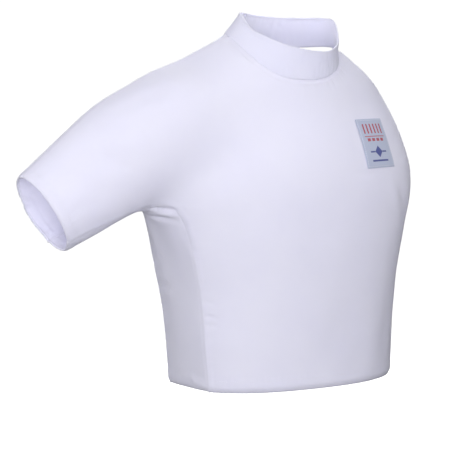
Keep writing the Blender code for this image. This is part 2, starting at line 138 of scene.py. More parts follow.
def nearest(tree, points):
    """The number of the tree's nearest point to each point, and how far away it is."""
    found = [tree.find(point) for point in points]
    return np.array([hit[1] for hit in found]), np.array([hit[2] for hit in found])


def step_between(low, high, value):
    """A soft step from 0 to 1 while the value goes from low to high."""
    share = np.clip((value - low) / (high - low), 0, 1)
    return share * share * (3 - 2 * share)


def uneven(points, size, seed=0.0):
    """Smooth noise, about -1 to 1, with waves of about this size."""
    return np.array([2 * noise.noise(Vector(point / size) + Vector((seed, seed, seed))) for point in points])


# %% [markdown]
# ## From a solid wall to the face of the cloth
# A wall of cloth has an outer face, an inner face and a narrow rim, and a sharp edge parts them. So the sharp
# edges are marked, and the part within them whose faces look away from the wearer most is kept. Its triangles
# are paired into four-sided faces, because a subdivision surface runs smoothly along such faces. It is then
# unwrapped while it is still coarse, which lays it flat like the pattern piece that a maker cuts. Scaled to
# real metres, that map carries the weave along the cloth and tells how large the flat piece was.

# %% Keep the outer face of a wall
SAME_POINT = 0.05 * MM
RIM_ANGLE = math.radians(62)
PAIR_LIKE_NEIGHBOURS = 1.5


def outlook(faces):
    """How much some faces look away from the wearer's middle, by area."""
    total = 0.0
    for face in faces:
        x, y, _ = face.calc_center_median()
        total += face.calc_area() * face.normal.dot(Vector((x, y, 0)))
    return total


def outer_face(node, name):
    """A copy of a solid wall of cloth, of which only the outer face is kept, in four-sided faces."""
    piece = bpy.data.objects.new(name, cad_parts[node].data.copy())
    bpy.context.scene.collection.objects.link(piece)
    piece.data.materials.clear()
    only(piece)
    bpy.ops.object.mode_set(mode="EDIT")
    bpy.ops.mesh.select_mode(type="FACE")
    bpy.ops.mesh.select_all(action="SELECT")
    bpy.ops.mesh.remove_doubles(threshold=SAME_POINT)
    mesh = bmesh.from_edit_mesh(piece.data)
    left, parts = set(mesh.faces), []
    while left:
        part, edge_of_part = [], [left.pop()]
        while edge_of_part:
            face = edge_of_part.pop()
            part.append(face)
            for edge in face.edges:
                if edge.calc_face_angle(0) < RIM_ANGLE:
                    fresh = [other for other in edge.link_faces if other in left]
                    left.difference_update(fresh)
                    edge_of_part.extend(fresh)
        parts.append(part)
    outer = max(parts, key=outlook)
    bpy.ops.mesh.select_all(action="SELECT")
    for face in outer:
        face.select_set(False)
    bpy.ops.mesh.delete(type="FACE")
    bpy.ops.mesh.select_all(action="SELECT")
    bpy.ops.mesh.tris_convert_to_quads(
        face_threshold=math.pi, shape_threshold=math.pi, topology_influence=PAIR_LIKE_NEIGHBOURS
    )
    bpy.ops.uv.unwrap(method="ANGLE_BASED", margin=0)
    bpy.ops.object.mode_set(mode="OBJECT")
    return piece


# %% Lay the pattern piece flat, in metres
FLAT = {}
LEAST_SHARE = 0.4


def edge_length(piece):
    """How long the piece's outer edge is, all round."""
    mesh = bmesh.new()
    mesh.from_mesh(piece.data)
    length = sum(edge.calc_length() for edge in mesh.edges if edge.is_boundary)
    mesh.free()
    return length


def true_pattern(piece):
    """Turns and scales the unwrapped map so that it is the flat pattern piece, upright and in metres."""
    data = piece.data
    layer = data.uv_layers[0].data
    uv = np.empty(len(layer) * 2, np.float32)
    layer.foreach_get("uv", uv)
    uv = uv.reshape(-1, 2).astype(float)
    corner = np.empty(len(data.loops), np.int32)
    data.loops.foreach_get("vertex_index", corner)
    height = coordinates(piece)[corner, 2]
    centred = uv - uv.mean(axis=0)
    rise = np.linalg.lstsq(centred, height - height.mean(), rcond=None)[0]
    rise = rise / np.linalg.norm(rise)
    uv = np.stack([centred @ np.array([rise[1], -rise[0]]), centred @ rise], axis=1)
    flat_area, area = 0.0, 0.0
    for face in data.polygons:
        u, v = uv[list(face.loop_indices)].T
        flat_area += 0.5 * (u @ np.roll(v, -1) - v @ np.roll(u, -1))
        area += face.area
    uv *= math.sqrt(area / abs(flat_area))
    layer.foreach_set("uv", uv.astype(np.float32).ravel())
    width, length = uv.max(axis=0) - uv.min(axis=0)
    if area < LEAST_SHARE * width * length:
        length = edge_length(piece) / 2
        width = area / length
    FLAT[piece.name] = (float(width), float(length), float(area))
    four_sided = sum(len(face.vertices) == 4 for face in data.polygons)
    print(f"{piece.name}: cut {width:.3f} x {length:.3f} m, {area:.4f} m2,", end=" ")
    print(f"{four_sided} of {len(data.polygons)} faces have four sides")
    return piece


# %% Make the face of the cloth finer
CORNER = math.radians(145)


def hold_corners(piece):
    """Creases the corners of the piece's edge, which would be rounded off otherwise."""
    creases = piece.data.vertex_creases_ensure().data
    mesh = bmesh.new()
    mesh.from_mesh(piece.data)
    for vert in mesh.verts:
        ways = [edge.other_vert(vert).co - vert.co for edge in vert.link_edges if edge.is_boundary]
        if len(ways) == 2 and ways[0].angle(ways[1]) < CORNER:
            creases[vert.index].value = 1.0
    mesh.free()


def finer(piece, levels):
    """Subdivides the face of the cloth smoothly, and keeps its corners."""
    hold_corners(piece)
    apply_modifier(
        piece, "SUBSURF", levels=levels, render_levels=levels, boundary_smooth="PRESERVE_CORNERS"
    )
    return piece


LEVELS = {"front": 2, "back": 2, "side_panel": 3, "collar": 3, "strap": 4, "label": 4}
cloth = {node: finer(true_pattern(outer_face(node, node + "_cloth")), n) for node, n in LEVELS.items()}
for piece in cloth.values():
    print(piece.name, len(piece.data.polygons), "faces")

# %% [markdown]
# ## Where the edges run
# Everything that a sewing machine does to cloth follows an edge: a seam sinks, the allowance under it lifts
# a narrow band beside it, and a turned hem is a band of double cloth. So each piece's edge is walked once
# round. Every point of it learns which way the cloth lies and what kind of edge it is: part of the neck seam,
# of another seam, of the hem or of the cuff, or bare.

# %% Walk round the edge of a piece
STEP = 0.5 * MM
SEWN_WITHIN = 2.3 * MM
HEM_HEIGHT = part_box("front")[0].z
CUFF_X = -0.345
PANELS = ("front", "back", "side_panel")
SEWN_PIECES = PANELS + ("collar",)


def walk(piece):
    """The edge of a piece as an even row of points, with the way along it, inwards and out of the cloth."""
    at, out = coordinates(piece), normals(piece)
    mesh = bmesh.new()
    mesh.from_mesh(piece.data)
    after = {}
    for edge in mesh.edges:
        if edge.is_boundary:
            loop = edge.link_loops[0]
            after[loop.vert.index] = loop.link_loop_next.vert.index
    mesh.free()
    row = [next(iter(after))]
    while after[row[-1]] != row[0]:
        row.append(after[row[-1]])
    row.append(row[0])
    line = at[row]
    along = np.concatenate([[0], np.cumsum(np.linalg.norm(np.diff(line, axis=0), axis=1))])
    places = np.arange(0, along[-1], STEP)
    point = np.stack([np.interp(places, along, line[:, k]) for k in range(3)], axis=1)
    normal = unit(np.stack([np.interp(places, along, out[row][:, k]) for k in range(3)], axis=1))
    way = unit(np.roll(point, -3, axis=0) - np.roll(point, 3, axis=0))
    return {"point": point, "out": normal, "along": way, "inwards": unit(np.cross(normal, way))}


# %% What kind of edge each point is on
edges = {node: walk(piece) for node, piece in cloth.items()}
for node, edge in edges.items():
    point = edge["point"]
    edge["kind"] = np.full(len(point), "bare", dtype="<U4")
    edge["kind"][point[:, 2] < HEM_HEIGHT + MM] = "hem"
    if node in PANELS:
        edge["kind"][point[:, 0] < CUFF_X] = "cuff"
    edge["seam_out"] = edge["out"].copy()
    if node in SEWN_PIECES:
        others = [other for other in SEWN_PIECES if other != node]
        other_points = np.concatenate([edges[other]["point"] for other in others])
        other_out = np.concatenate([edges[other]["out"] for other in others])
        seams = []
        for other in others:
            seams += ["neck" if "collar" in (node, other) else "seam"] * len(edges[other]["point"])
        hit, away = nearest(tree_of(other_points), point)
        sewn = away < SEWN_WITHIN
        edge["kind"][sewn] = np.array(seams)[hit[sewn]]
        edge["seam_out"][sewn] = unit(edge["out"][sewn] + other_out[hit[sewn]])
    kinds, counts = np.unique(edge["kind"], return_counts=True)
    print(node, {str(kind): f"{count * STEP:.2f} m" for kind, count in zip(kinds, counts)})

# %% Cut the faces finer near the edges
NEAR_EDGE = {"front": 22 * MM, "back": 22 * MM}


def cut_finer(piece, spots, within):
    """Cuts the faces that lie near some points in four."""
    tree = tree_of(spots)
    only(piece)
    bpy.ops.object.mode_set(mode="EDIT")
    bpy.ops.mesh.select_mode(type="FACE")
    bpy.ops.mesh.select_all(action="DESELECT")
    mesh = bmesh.from_edit_mesh(piece.data)
    for face in mesh.faces:
        face.select_set(tree.find(face.calc_center_median())[2] < within)
    bpy.ops.mesh.subdivide(number_cuts=1)
    bpy.ops.object.mode_set(mode="OBJECT")


for node, within in NEAR_EDGE.items():
    cut_finer(cloth[node], edges[node]["point"][::4], within)
    print(node, "now has", len(cloth[node].data.polygons), "faces")

# %% [markdown]
# ## Folds
# The photographed cloth is nearly smooth, because it is filled out: a few shallow folds run from the armpit,
# beside the label and over the hem. Cloth simulation could make folds, but not these ones in these places,
# so each fold is a route of three points that is laid on the cloth, with a width and a depth. A fold has the
# section of a trough or a ridge with soft shoulders, it fades out at its ends and wanders a little. Folds on
# the sides that the photograph doesn't show follow the same habit, and are a little deeper.

# %% The folds, with their sizes in millimetres
# Each row gives the half width, the height (below zero for a trough), and three places on the way.
FOLDS = (
    (5.0, -2.7, (-236, -20, -190), (-221, -29, -190), (-204, -45, -193)),
    (4.5, 0.9, (-228, -2, -196), (-215, -25, -197), (-202, -46, -200)),
    (4.5, -1.9, (-224, 8, -203), (-212, -20, -204), (-200, -46, -208)),
    (7.0, -0.8, (-202, -49, -200), (-197, -55, -225), (-186, -58, -262)),
    (20.0, -0.9, (-212, -50, -184), (-175, -76, -140), (-130, -96, -100)),
    (24.0, 0.8, (-196, -62, -196), (-150, -96, -165), (-95, -108, -135)),
    (14.0, -1.6, (-336, -44, -120), (-316, -52, -128), (-296, -57, -138)),
    (16.0, 1.0, (-322, -42, -90), (-298, -54, -98), (-270, -63, -112)),
    (9.0, -0.8, (-398, -28, -160), (-374, -38, -152), (-348, -44, -146)),
    (8.0, -0.7, (-372, -36, -190), (-350, -44, -182), (-322, -50, -178)),
    (12.0, -1.0, (-300, -34, -64), (-262, -38, -48), (-214, -42, -28)),
    (11.0, -1.3, (124, -103, -154), (146, -94, -186), (160, -86, -222)),
    (12.0, 1.0, (108, -108, -160), (126, -104, -196), (140, -98, -236)),
    (5.0, -0.9, (129, -82, -86), (139, -70, -83), (150, -57, -76)),
    (4.5, -0.8, (133, -90, -108), (144, -79, -106), (157, -66, -99)),
    (5.5, -1.0, (137, -97, -130), (150, -87, -130), (166, -73, -124)),
    (4.5, -0.8, (30, -118, -147), (56, -117, -151), (82, -113, -150)),
    (5.0, 0.5, (50, -98, -76), (55, -110, -108), (58, -118, -142)),
    (4.0, -0.8, (-170, -54, -339), (-163, -64, -341), (-150, -76, -342)),
    (3.5, -0.6, (-169, -55, -350), (-164, -63, -351), (-156, -70, -353)),
    (4.0, -0.5, (-170, -54, -318), (-165, -62, -319), (-158, -70, -321)),
    (6.0, 0.7, (-168, 0, -430), (-168, -24, -433), (-162, -46, -437)),
    (22.0, -0.7, (-86, -110, -438), (-78, -114, -380), (-62, -118, -316)),
    (26.0, -0.8, (44, -114, -436), (40, -117, -372), (20, -121, -300)),
    (16.0, -0.8, (118, -98, -436), (120, -100, -380), (128, -102, -318)),
    (12.0, -1.8, (-84, 14, 36), (-86, -22, 22), (-76, -46, 2)),
    (15.0, -2.4, (-128, 64, -18), (-166, 88, -90), (-206, 72, -172)),
    (14.0, -2.2, (-92, 84, -38), (-130, 103, -112), (-186, 88, -190)),
    (12.0, -1.8, (-24, 88, -22), (-20, 101, -84), (-8, 111, -156)),
    (14.0, -2.2, (-44, 96, -438), (-48, 98, -384), (-62, 104, -308)),
    (16.0, -2.0, (-104, 86, -438), (-108, 90, -374), (-112, 98, -290)),
    (9.0, -1.4, (8, 97, -438), (2, 99, -400), (-6, 102, -368)),
    (6.0, -1.3, (-18, 100, -336), (-38, 100, -331), (-62, 99, -322)),
    (5.5, -1.1, (-18, 100, -350), (-42, 99, -355), (-72, 96, -366)),
    (4.5, -0.9, (-16, 100, -343), (-32, 100, -344), (-50, 99, -344)),
    (12.0, -1.7, (-70, 97, -366), (-112, 88, -376), (-152, 62, -384)),
    (6.0, -1.5, (-402, 30, -176), (-388, 38, -182), (-366, 42, -184)),
    (8.0, 1.1, (-408, 26, -196), (-394, 34, -204), (-372, 38, -208)),
    (5.0, -1.2, (-400, 14, -222), (-384, 22, -224), (-360, 30, -222)),
    (6.0, 1.0, (-398, 22, -160), (-380, 36, -158), (-362, 40, -154)),
    (11.0, -2.3, (-226, 44, -186), (-256, 62, -150), (-292, 55, -110)),
    (10.0, -1.9, (-242, 40, -192), (-284, 50, -166), (-334, 44, -142)),
    (13.0, -1.8, (-214, 62, -152), (-230, 72, -112), (-242, 60, -62)),
    (8.0, -1.1, (-176, 6, -300), (-177, 26, -305), (-170, 48, -313)),
    (7.0, -0.9, (-184, 10, -262), (-184, 28, -265), (-178, 50, -272)),
    (10.0, -1.6, (175, 8, -338), (168, -14, -332), (150, -52, -322)),
    (9.0, -1.4, (174, 8, -352), (166, -16, -362), (148, -52, -376)),
    (8.0, -1.0, (172, -2, -436), (172, -6, -384), (176, -8, -308)),
    (9.0, -1.3, (196, -28, -196), (190, -44, -226), (176, -66, -268)),
)
ROUTE_STEPS = 64
WANDER = 0.3
WANDER_SIZE = 30 * MM
DEPTH_VARIES = 0.35
SWELLS = 9
ENDS = 0.7
FADE = 1.4
REACHES = 4


def route_on(tree, places, points, width, seed):
    """A smooth route past three places, laid on the cloth, that wanders a little."""
    start, middle, end = (np.array(place) * MM for place in places)
    share = np.linspace(0, 1, ROUTE_STEPS)[:, None]
    turn = 2 * middle - (start + end) / 2
    line = (1 - share) ** 2 * start + 2 * share * (1 - share) * turn + share**2 * end
    sway = uneven(line, WANDER_SIZE, seed)[:, None] * unit(np.cross(end - start, middle)[None])
    line = line + WANDER * width * MM * sway
    hits, _ = nearest(tree, line)
    line = points[hits]
    for _ in range(3):
        line[1:-1] = (line[:-2] + 2 * line[1:-1] + line[2:]) / 4
    return line


def fold_height(points, line, width, height, seed):
    """How far one fold lifts each point, in metres."""
    lift = np.zeros(len(points))
    reach = REACHES * width * MM
    low, high = line.min(axis=0) - reach, line.max(axis=0) + reach
    near = np.where(((points > low) & (points < high)).all(axis=1))[0]
    if not len(near):
        return lift
    away = np.linalg.norm(points[near, None] - line[None], axis=2)
    best = away.argmin(axis=1)
    share = best / (len(line) - 1)
    across = (away[np.arange(len(near)), best] / (width * MM)) ** 2
    ends = np.sin(math.pi * share) ** ENDS
    vary = 1 + DEPTH_VARIES * np.sin(SWELLS * share + 2 * seed)
    lift[near] = height * MM * ends * vary * (1 - across) * np.exp(-across / FADE)
    return lift


# %% Lay the folds on the panels and the collar
COLLAR_SEAM_Z = -24
COLLAR_FRONT_Y = -90
GATHERS = (
    # x, half width, height and length, from the collar's seam upwards, in millimetres
    (-62, 3.4, -0.3, 18),
    (-52, 3.0, -0.4, 27),
    (-43, 2.8, -0.3, 20),
    (-7, 3.0, -0.35, 22),
    (2, 3.4, -0.45, 33),
    (10, 4.2, -0.5, 30),
    (17, 3.2, -0.45, 44),
    (24, 4.6, -0.65, 38),
    (32, 3.6, -0.55, 48),
    (41, 4.6, -0.7, 42),
)
laid_points = {node: coordinates(cloth[node]) for node in SEWN_PIECES}
panel_points = np.concatenate([laid_points[node] for node in SEWN_PIECES])
panel_tree = tree_of(panel_points)
lifts = {node: np.zeros(len(points)) for node, points in laid_points.items()}
for seed, (width, height, *places) in enumerate(FOLDS):
    line = route_on(panel_tree, places, panel_points, width, seed)
    for node in SEWN_PIECES:
        lifts[node] += fold_height(laid_points[node], line, width, height, seed)
collar_tree = tree_of(laid_points["collar"])
for seed, (x, width, height, length) in enumerate(GATHERS):
    places = [(x + i, COLLAR_FRONT_Y, COLLAR_SEAM_Z + i * length / 2) for i in range(3)]
    line = route_on(collar_tree, places, laid_points["collar"], width, seed)
    lifts["collar"] += fold_height(laid_points["collar"], line, width, height, seed)
print(len(FOLDS), "folds and", len(GATHERS), "gathers,", end=" ")
print(f"deepest {min(lift.min() for lift in lifts.values()) / MM:.1f} mm")

# %% [markdown]
# ## Hems and seams
# A hem here is the cloth's edge turned under and sewn down, so the outside shows a slightly raised band, a
# line of stitches that sinks, and small puckers on both sides of that line, and it rolls inwards at its very
# edge. A seam sinks where two pieces meet, and the allowance folded under one of them lifts a band as wide as
# it is. The solids lie 0.3 mm apart there, so both pieces are drawn a little past the seam, which closes it.
# The puckers change only along the edge, so their noise is read at the nearest point of the edge and fades
# away from it.

# %% Sizes of the sewing, in millimetres
SEWING = {
    # width and height of the turned band, depth of the stitches and of the seam, height of the puckers,
    # and how far the very edge rolls inwards, and from how far away
    "hem": (18.0, 0.42, 0.16, 0.0, 0.2, 3.4, 9.0),
    "cuff": (15.0, 0.42, 0.28, 0.0, 0.36, 2.0, 4.0),
    "bare": (7.0, 0.45, 0.36, 0.0, 0.36, 1.2, 3.0),
    "neck": (8.0, 0.5, 0.4, 2.0, 0.36, 0.0, 1.0),
    "seam": (9.0, 0.25, 0.0, 0.55, 0.18, 0.0, 1.0),
}
LIES_FLAT_ON = ("front", "back")
BAND_ENDS_OVER = 1.2
DOUBLE_ENDS = (-0.5, 2.0)
STITCH_INSIDE = 1.5
STITCH_WIDE = 1.0
SEAM_WIDE = 1.8
SEAM_TURNS_WITHIN = 6.0
PUCKER_SIZE = 5.5
PUCKER_STARTS = (0.0, 2.0)
PUCKER_FADES = 7.0
OVERLAP = 0.5
SOFT_WAVES = ((0.8, 90.0), (0.25, 34.0))
NECK_SOFTENS = (-58.0, -24.0)
SOFTEST = 0.1


def neck_strength(x):
    """The neck seam is pressed open over the right shoulder, so there it shows less."""
    return SOFTEST + (1 - SOFTEST) * step_between(*NECK_SOFTENS, x / MM)


def sewn_form(node, points):
    """How far the sewing lifts each point, in millimetres, and how much of the cloth is double there."""
    edge = edges[node]
    lift, double = np.zeros(len(points)), np.zeros(len(points))
    for kind, (wide, height, stitch, seam, pucker, roll, reach) in SEWING.items():
        spots = np.where(edge["kind"] == kind)[0][::2]
        if not len(spots):
            continue
        at = edge["point"][spots]
        hit, away = nearest(tree_of(at), points)
        away = away / MM
        waves = pucker * uneven(at / MM, PUCKER_SIZE, len(kind))[hit]
        form = -roll * np.clip(1 - away / reach, 0, 1) ** 2
        if seam:
            form -= seam * np.exp(-((away / SEAM_WIDE) ** 2))
            form += waves * np.exp(-away / PUCKER_FADES) * step_between(*PUCKER_STARTS, away)
        if not seam or node in LIES_FLAT_ON:
            form += height * (1 - step_between(-BAND_ENDS_OVER, BAND_ENDS_OVER, away - wide))
            form -= stitch * np.exp(-(((away - wide + STITCH_INSIDE) / STITCH_WIDE) ** 2))
            form += waves * np.exp(-np.abs(away - wide) / PUCKER_FADES)
            double = np.maximum(double, 1 - step_between(*DOUBLE_ENDS, away - wide))
        lift += form * (neck_strength(at[hit, 0]) if kind == "neck" else 1)
    return lift, double


# %% Push the form into the cloth
DOUBLE = {}
for node in SEWN_PIECES:
    piece, edge = cloth[node], edges[node]
    points, out = laid_points[node], normals(cloth[node])
    hit, away = nearest(tree_of(edge["point"]), points)
    share = np.exp(-((away / (SEAM_TURNS_WITHIN * MM)) ** 2))[:, None]
    out = unit((1 - share) * out + share * edge["seam_out"][hit])
    form, DOUBLE[node] = sewn_form(node, points)
    lift = lifts[node] + form * MM
    for height, size in SOFT_WAVES:
        lift += height * MM * uneven(points / MM, size, height)
    sewn = (away < STEP) & np.isin(edge["kind"][hit], ("neck", "seam"))
    points[sewn] -= OVERLAP * MM * edge["inwards"][hit[sewn]]
    move_points(piece, points + lift[:, None] * out)
    print(node, f"moved between {lift.min() / MM:.1f} and {lift.max() / MM:.1f} mm")

# %% [markdown]
# ## The label and the strap
# The label is a woven patch sewn down all round, so its edge is pressed flat and its middle stands a little
# proud. The strap is elastic webbing, woven with ribs along its length, and its ends are sewn down in a box.

# %% Their form
PRESSED = 0.35
PRESSED_WITHIN = (0.5, 3.5)
RIB_PITCH = 3.8
RIB_HEIGHT = 0.22
LIMP, LIMP_SIZE, LIMP_SEED = 0.25, 22.0, 4.0

for node in ("label", "strap"):
    piece = cloth[node]
    points, out = coordinates(piece), normals(piece)
    _, away = nearest(tree_of(edges[node]["point"]), points)
    lift = PRESSED * (step_between(*PRESSED_WITHIN, away / MM) - 1)
    if node == "strap":
        across = points[:, 2] / MM
        lift = lift + RIB_HEIGHT * np.cos(2 * math.pi * across / RIB_PITCH)
    lift = lift + LIMP * uneven(points / MM, LIMP_SIZE, LIMP_SEED)
    move_points(piece, points + lift[:, None] * MM * out)

# %% [markdown]
# ## Stitches
# Lockstitch shows on the outside as short threads in a row, each one sunk a little at its ends. One stitch is
# modelled as a long bead and copied along the rows. A row is found from the edge: each of its places lies a
# fixed way inwards and is then put on the cloth, and places too near another edge are left out.

# %% One stitch, and a row of them
STITCH_PITCH = 3.2 * MM
STITCH_LONG = 2.5 * MM
STITCH_THICK = 0.55 * MM
CLEAR_OF_OTHERS = 0.8
bpy.ops.object.select_all(action="DESELECT")
bpy.ops.mesh.primitive_uv_sphere_add(segments=6, ring_count=5, radius=0.5)
bpy.ops.transform.resize(value=(STITCH_THICK, STITCH_THICK, STITCH_LONG))
bpy.ops.object.transform_apply(location=False, rotation=False, scale=True)
bead = bpy.context.object
BEAD_POINTS = coordinates(bead)
BEAD_FACES = [list(face.vertices) for face in bead.data.polygons]
bpy.data.objects.remove(bead)


def stitches_at(places, along, out):
    """The points of a stitch at each place, long in one direction and flat against the cloth."""
    side = unit(np.cross(along, out))
    frame_axes = np.stack([side, unit(np.cross(side, along)), along], axis=1)
    return places[:, None] + np.einsum("pk,nkc->npc", BEAD_POINTS, frame_axes)


def on_cloth(piece, places):
    """The places put on the cloth, and the way out of it there."""
    found = [piece.closest_point_on_mesh(Vector(place)) for place in places]
    return np.array([hit[1] for hit in found]), np.array([hit[2] for hit in found])


def edge_row(node, kind, inside):
    """Stitches along the edges of one kind, some way inside them."""
    edge = edges[node]
    tree = tree_of(edge["point"])
    pick = np.arange(0, len(edge["point"]), int(round(STITCH_PITCH / STEP)))
    pick = pick[edge["kind"][pick] == kind]
    places = edge["point"][pick] + inside * MM * edge["inwards"][pick]
    kept = nearest(tree, places)[1] > CLEAR_OF_OTHERS * inside * MM
    places, out = on_cloth(cloth[node], places[kept])
    return stitches_at(places, edge["along"][pick][kept], out)


def line_row(node, start, end):
    """Stitches on a straight line between two places on the cloth, in millimetres."""
    start, end = np.array(start) * MM, np.array(end) * MM
    count = max(2, int(np.linalg.norm(end - start) / STITCH_PITCH))
    places = start + np.linspace(0, 1, count)[:, None] * (end - start)
    places, out = on_cloth(cloth[node], places)
    return stitches_at(places, unit(np.gradient(places, axis=0)), out)


def sew(name, rows):
    """All the stitches of some rows as one mesh."""
    points = np.concatenate(rows)
    faces = []
    for i in range(len(points)):
        faces += [[i * len(BEAD_POINTS) + corner for corner in face] for face in BEAD_FACES]
    mesh = bpy.data.meshes.new(name)
    mesh.from_pydata(points.reshape(-1, 3).tolist(), [], faces)
    mesh.shade_smooth()
    piece = bpy.data.objects.new(name, mesh)
    bpy.context.scene.collection.objects.link(piece)
    print(name, len(points), "stitches")
    return piece


# %% The rows on each piece
ROWS = {
    # kind of edge, and how far inside it the row runs, in millimetres
    "front": (("hem", 16.5), ("cuff", 13.5), ("bare", 5.5), ("neck", 6.5)),
    "back": (("hem", 16.5), ("cuff", 13.5), ("bare", 5.5), ("neck", 6.5)),
    "side_panel": (("hem", 16.5), ("cuff", 13.5)),
    "collar": (("bare", 5.5),),
    "label": (("bare", 2.2),),
}
thread = {}
for node, rows in ROWS.items():
    thread[node] = sew(node + "_stitches", [edge_row(node, *row) for row in rows])

# %% The boxes at the strap's ends, in millimetres
STRAP_Z = (-357.0, -327.0)
BACK_BOX = ((-9.0, 105.0), (21.0, 105.0))
FRONT_BOX = ((176.0, 20.0), (166.0, 50.0))


def strap_boxes():
    """A box with a cross in it, sewn at each end of the strap."""
    rows = []
    low, high = STRAP_Z
    for (x1, y1), (x2, y2) in (BACK_BOX, FRONT_BOX):
        corners = ((x1, y1, low), (x2, y2, low), (x2, y2, high), (x1, y1, high))
        ways = ((0, 1), (1, 2), (2, 3), (3, 0), (0, 2), (1, 3))
        rows += [line_row("strap", corners[a], corners[b]) for a, b in ways]
    return rows


thread["strap"] = sew("strap_stitches", strap_boxes())

# %% [markdown]
# ## Thickness
# Now each face gets its thickness back, inwards, so that the outside stays where it is. Where the cloth is
# turned under it is double, so the inner side stands in there, which shows inside the cuff and the hem.

# %% Give the cloth its thickness
THICK = {"front": 1.8, "back": 1.8, "side_panel": 1.8, "collar": 2.6, "strap": 1.6, "label": 0.8}
TURNED_ADDS = 1.0
ROUNDED = 0.3
SHARP = math.radians(55)


def thicken(piece, thickness, double=None):
    """Gives the face of the cloth its thickness, inwards, and rounds its edges."""
    settings = {"thickness": thickness * MM, "offset": -1, "use_rim": True}
    if double is not None:
        whole = thickness + TURNED_ADDS
        group = piece.vertex_groups.new(name="double")
        for i, share in enumerate(double):
            group.add([i], float(share), "REPLACE")
        settings["thickness"] = whole * MM
        settings["vertex_group"] = "double"
        settings["thickness_vertex_group"] = thickness / whole
    apply_modifier(piece, "SOLIDIFY", **settings)
    width = ROUNDED * thickness * MM
    apply_modifier(piece, "BEVEL", width=width, segments=2, limit_method="ANGLE", angle_limit=SHARP)
    only(piece)
    bpy.ops.object.shade_smooth()
    piece.vertex_groups.clear()


for node, piece in cloth.items():
    thicken(piece, THICK[node], DOUBLE.get(node) if node in PANELS else None)

# %% [markdown]
# ## Materials
# The jacket is a tightly woven cotton twill, bleached white, with a faint sheen. Under a cool light it reads
# as white with a lilac shade. Its weave could be an image, but a wave pattern on the flat pattern's own map
# follows the cloth round the body and stays sharp from close by.


# %% One helper adds a node
def add(material, kind, settings=None, **links):
    """Adds a node of a kind, with its settings and with links or values for its inputs."""
    node = material.node_tree.nodes.new(kind)
    for name, value in (settings or {}).items():
        setattr(node, name, value)
    for name, value in links.items():
        key = int(name[1:]) if name[0] == "_" else name.replace("_", " ")
        socket = node.inputs[key]
        if isinstance(value, bpy.types.NodeSocket):
            material.node_tree.links.new(value, socket)
        else:
            socket.default_value = value
    return node


# Thin white cloth lets some light through, so the insides aren't dark.
LIGHT_THROUGH = 0.45
THROUGH_DEPTH = 2.0 * MM
SHEEN_ROUGHNESS = 0.5
ALL_COLOURS = (1.0, 1.0, 1.0)


def start_material(name, roughness, sheen):
    """A new material, its surface shader, and its map of the flat piece in millimetres."""
    made = bpy.data.materials.new(name)
    made.use_nodes = True
    surface = made.node_tree.nodes["Principled BSDF"]
    surface.inputs["Roughness"].default_value = roughness
    surface.inputs["Sheen Weight"].default_value = sheen
    surface.inputs["Sheen Roughness"].default_value = SHEEN_ROUGHNESS
    surface.inputs["Subsurface Weight"].default_value = LIGHT_THROUGH
    surface.inputs["Subsurface Radius"].default_value = ALL_COLOURS
    surface.inputs["Subsurface Scale"].default_value = THROUGH_DEPTH
    flat = add(made, "ShaderNodeTexCoord").outputs["UV"]
    scaled = add(made, "ShaderNodeVectorMath", {"operation": "SCALE"}, Vector=flat, Scale=1 / MM)
    return made, surface, scaled.outputs["Vector"]


# %% White cotton twill
# The real twill has about 25 diagonal ribs a centimetre, far too fine to show, so the ribs are drawn 1.3 mm
# apart, and shallow. Its matt yarn with a soft sheen makes the shade on it soft and even.
TWILL_PITCH = 1.3
TWILL_HEIGHT = 0.05
SLUBS_PER_MM = 0.9
DRIFTS_PER_MM = 0.012
# A wave texture of scale 1 has a rib every 2 pi / 20 units.
WAVES_TO_UNITS = 2 * math.pi / 20


def wave(made, vector, pitch, direction):
    """Even ribs, a pitch apart in millimetres."""
    return add(
        made,
        "ShaderNodeTexWave",
        {"wave_type": "BANDS", "bands_direction": direction, "wave_profile": "SIN"},
        Vector=vector,
        Scale=WAVES_TO_UNITS / pitch,
        Distortion=0.0,
    ).outputs["Fac"]


def twill(name, light, shade, roughness, sheen):
    """A bleached twill: diagonal ribs, uneven yarn, and a faint drift of colour."""
    made, surface, flat = start_material(name, roughness, sheen)
    ribs = wave(made, flat, TWILL_PITCH, "DIAGONAL")
    slub = add(made, "ShaderNodeTexNoise", Vector=flat, Scale=SLUBS_PER_MM, Detail=2.0).outputs["Fac"]
    drift = add(made, "ShaderNodeTexNoise", Vector=flat, Scale=DRIFTS_PER_MM, Detail=3.0).outputs["Fac"]
    mixed = add(made, "ShaderNodeMix", {"data_type": "RGBA"}, Factor=drift)
    mixed.inputs[6].default_value = linear(light)
    mixed.inputs[7].default_value = linear(shade)
    made.node_tree.links.new(mixed.outputs[2], surface.inputs["Base Color"])
    height = add(made, "ShaderNodeMath", {"operation": "ADD"}, _0=ribs, _1=slub).outputs[0]
    bump = add(made, "ShaderNodeBump", Height=height, Strength=0.5, Distance=TWILL_HEIGHT * MM)
    made.node_tree.links.new(bump.outputs["Normal"], surface.inputs["Normal"])
    return made


white = twill("white_cotton_twill", "#EDECFA", "#E6E5F6", 0.72, 0.12)
# The collar gets a slightly darker copy of the same twill: painted shade, not a different cloth.
collar_shaded_white = twill("white_cotton_twill_painted_shade", "#EBEAF8", "#E3E3F4", 0.72, 0.12)

# %% Ribbed elastic webbing
# Rubber and polyester woven flat: weft ribs across the strap and a dull, even face.
WEBBING_PITCH = 1.9
WEAVE_RELIEF = 0.12 * MM
webbing, webbing_surface, flat = start_material("ribbed_elastic_webbing", 0.68, 0.15)
webbing_surface.inputs["Base Color"].default_value = linear("#E4E3EE")
cross = wave(webbing, flat, WEBBING_PITCH, "X")
bump = add(webbing, "ShaderNodeBump", Height=cross, Strength=0.6, Distance=WEAVE_RELIEF)
webbing.node_tree.links.new(bump.outputs["Normal"], webbing_surface.inputs["Normal"])

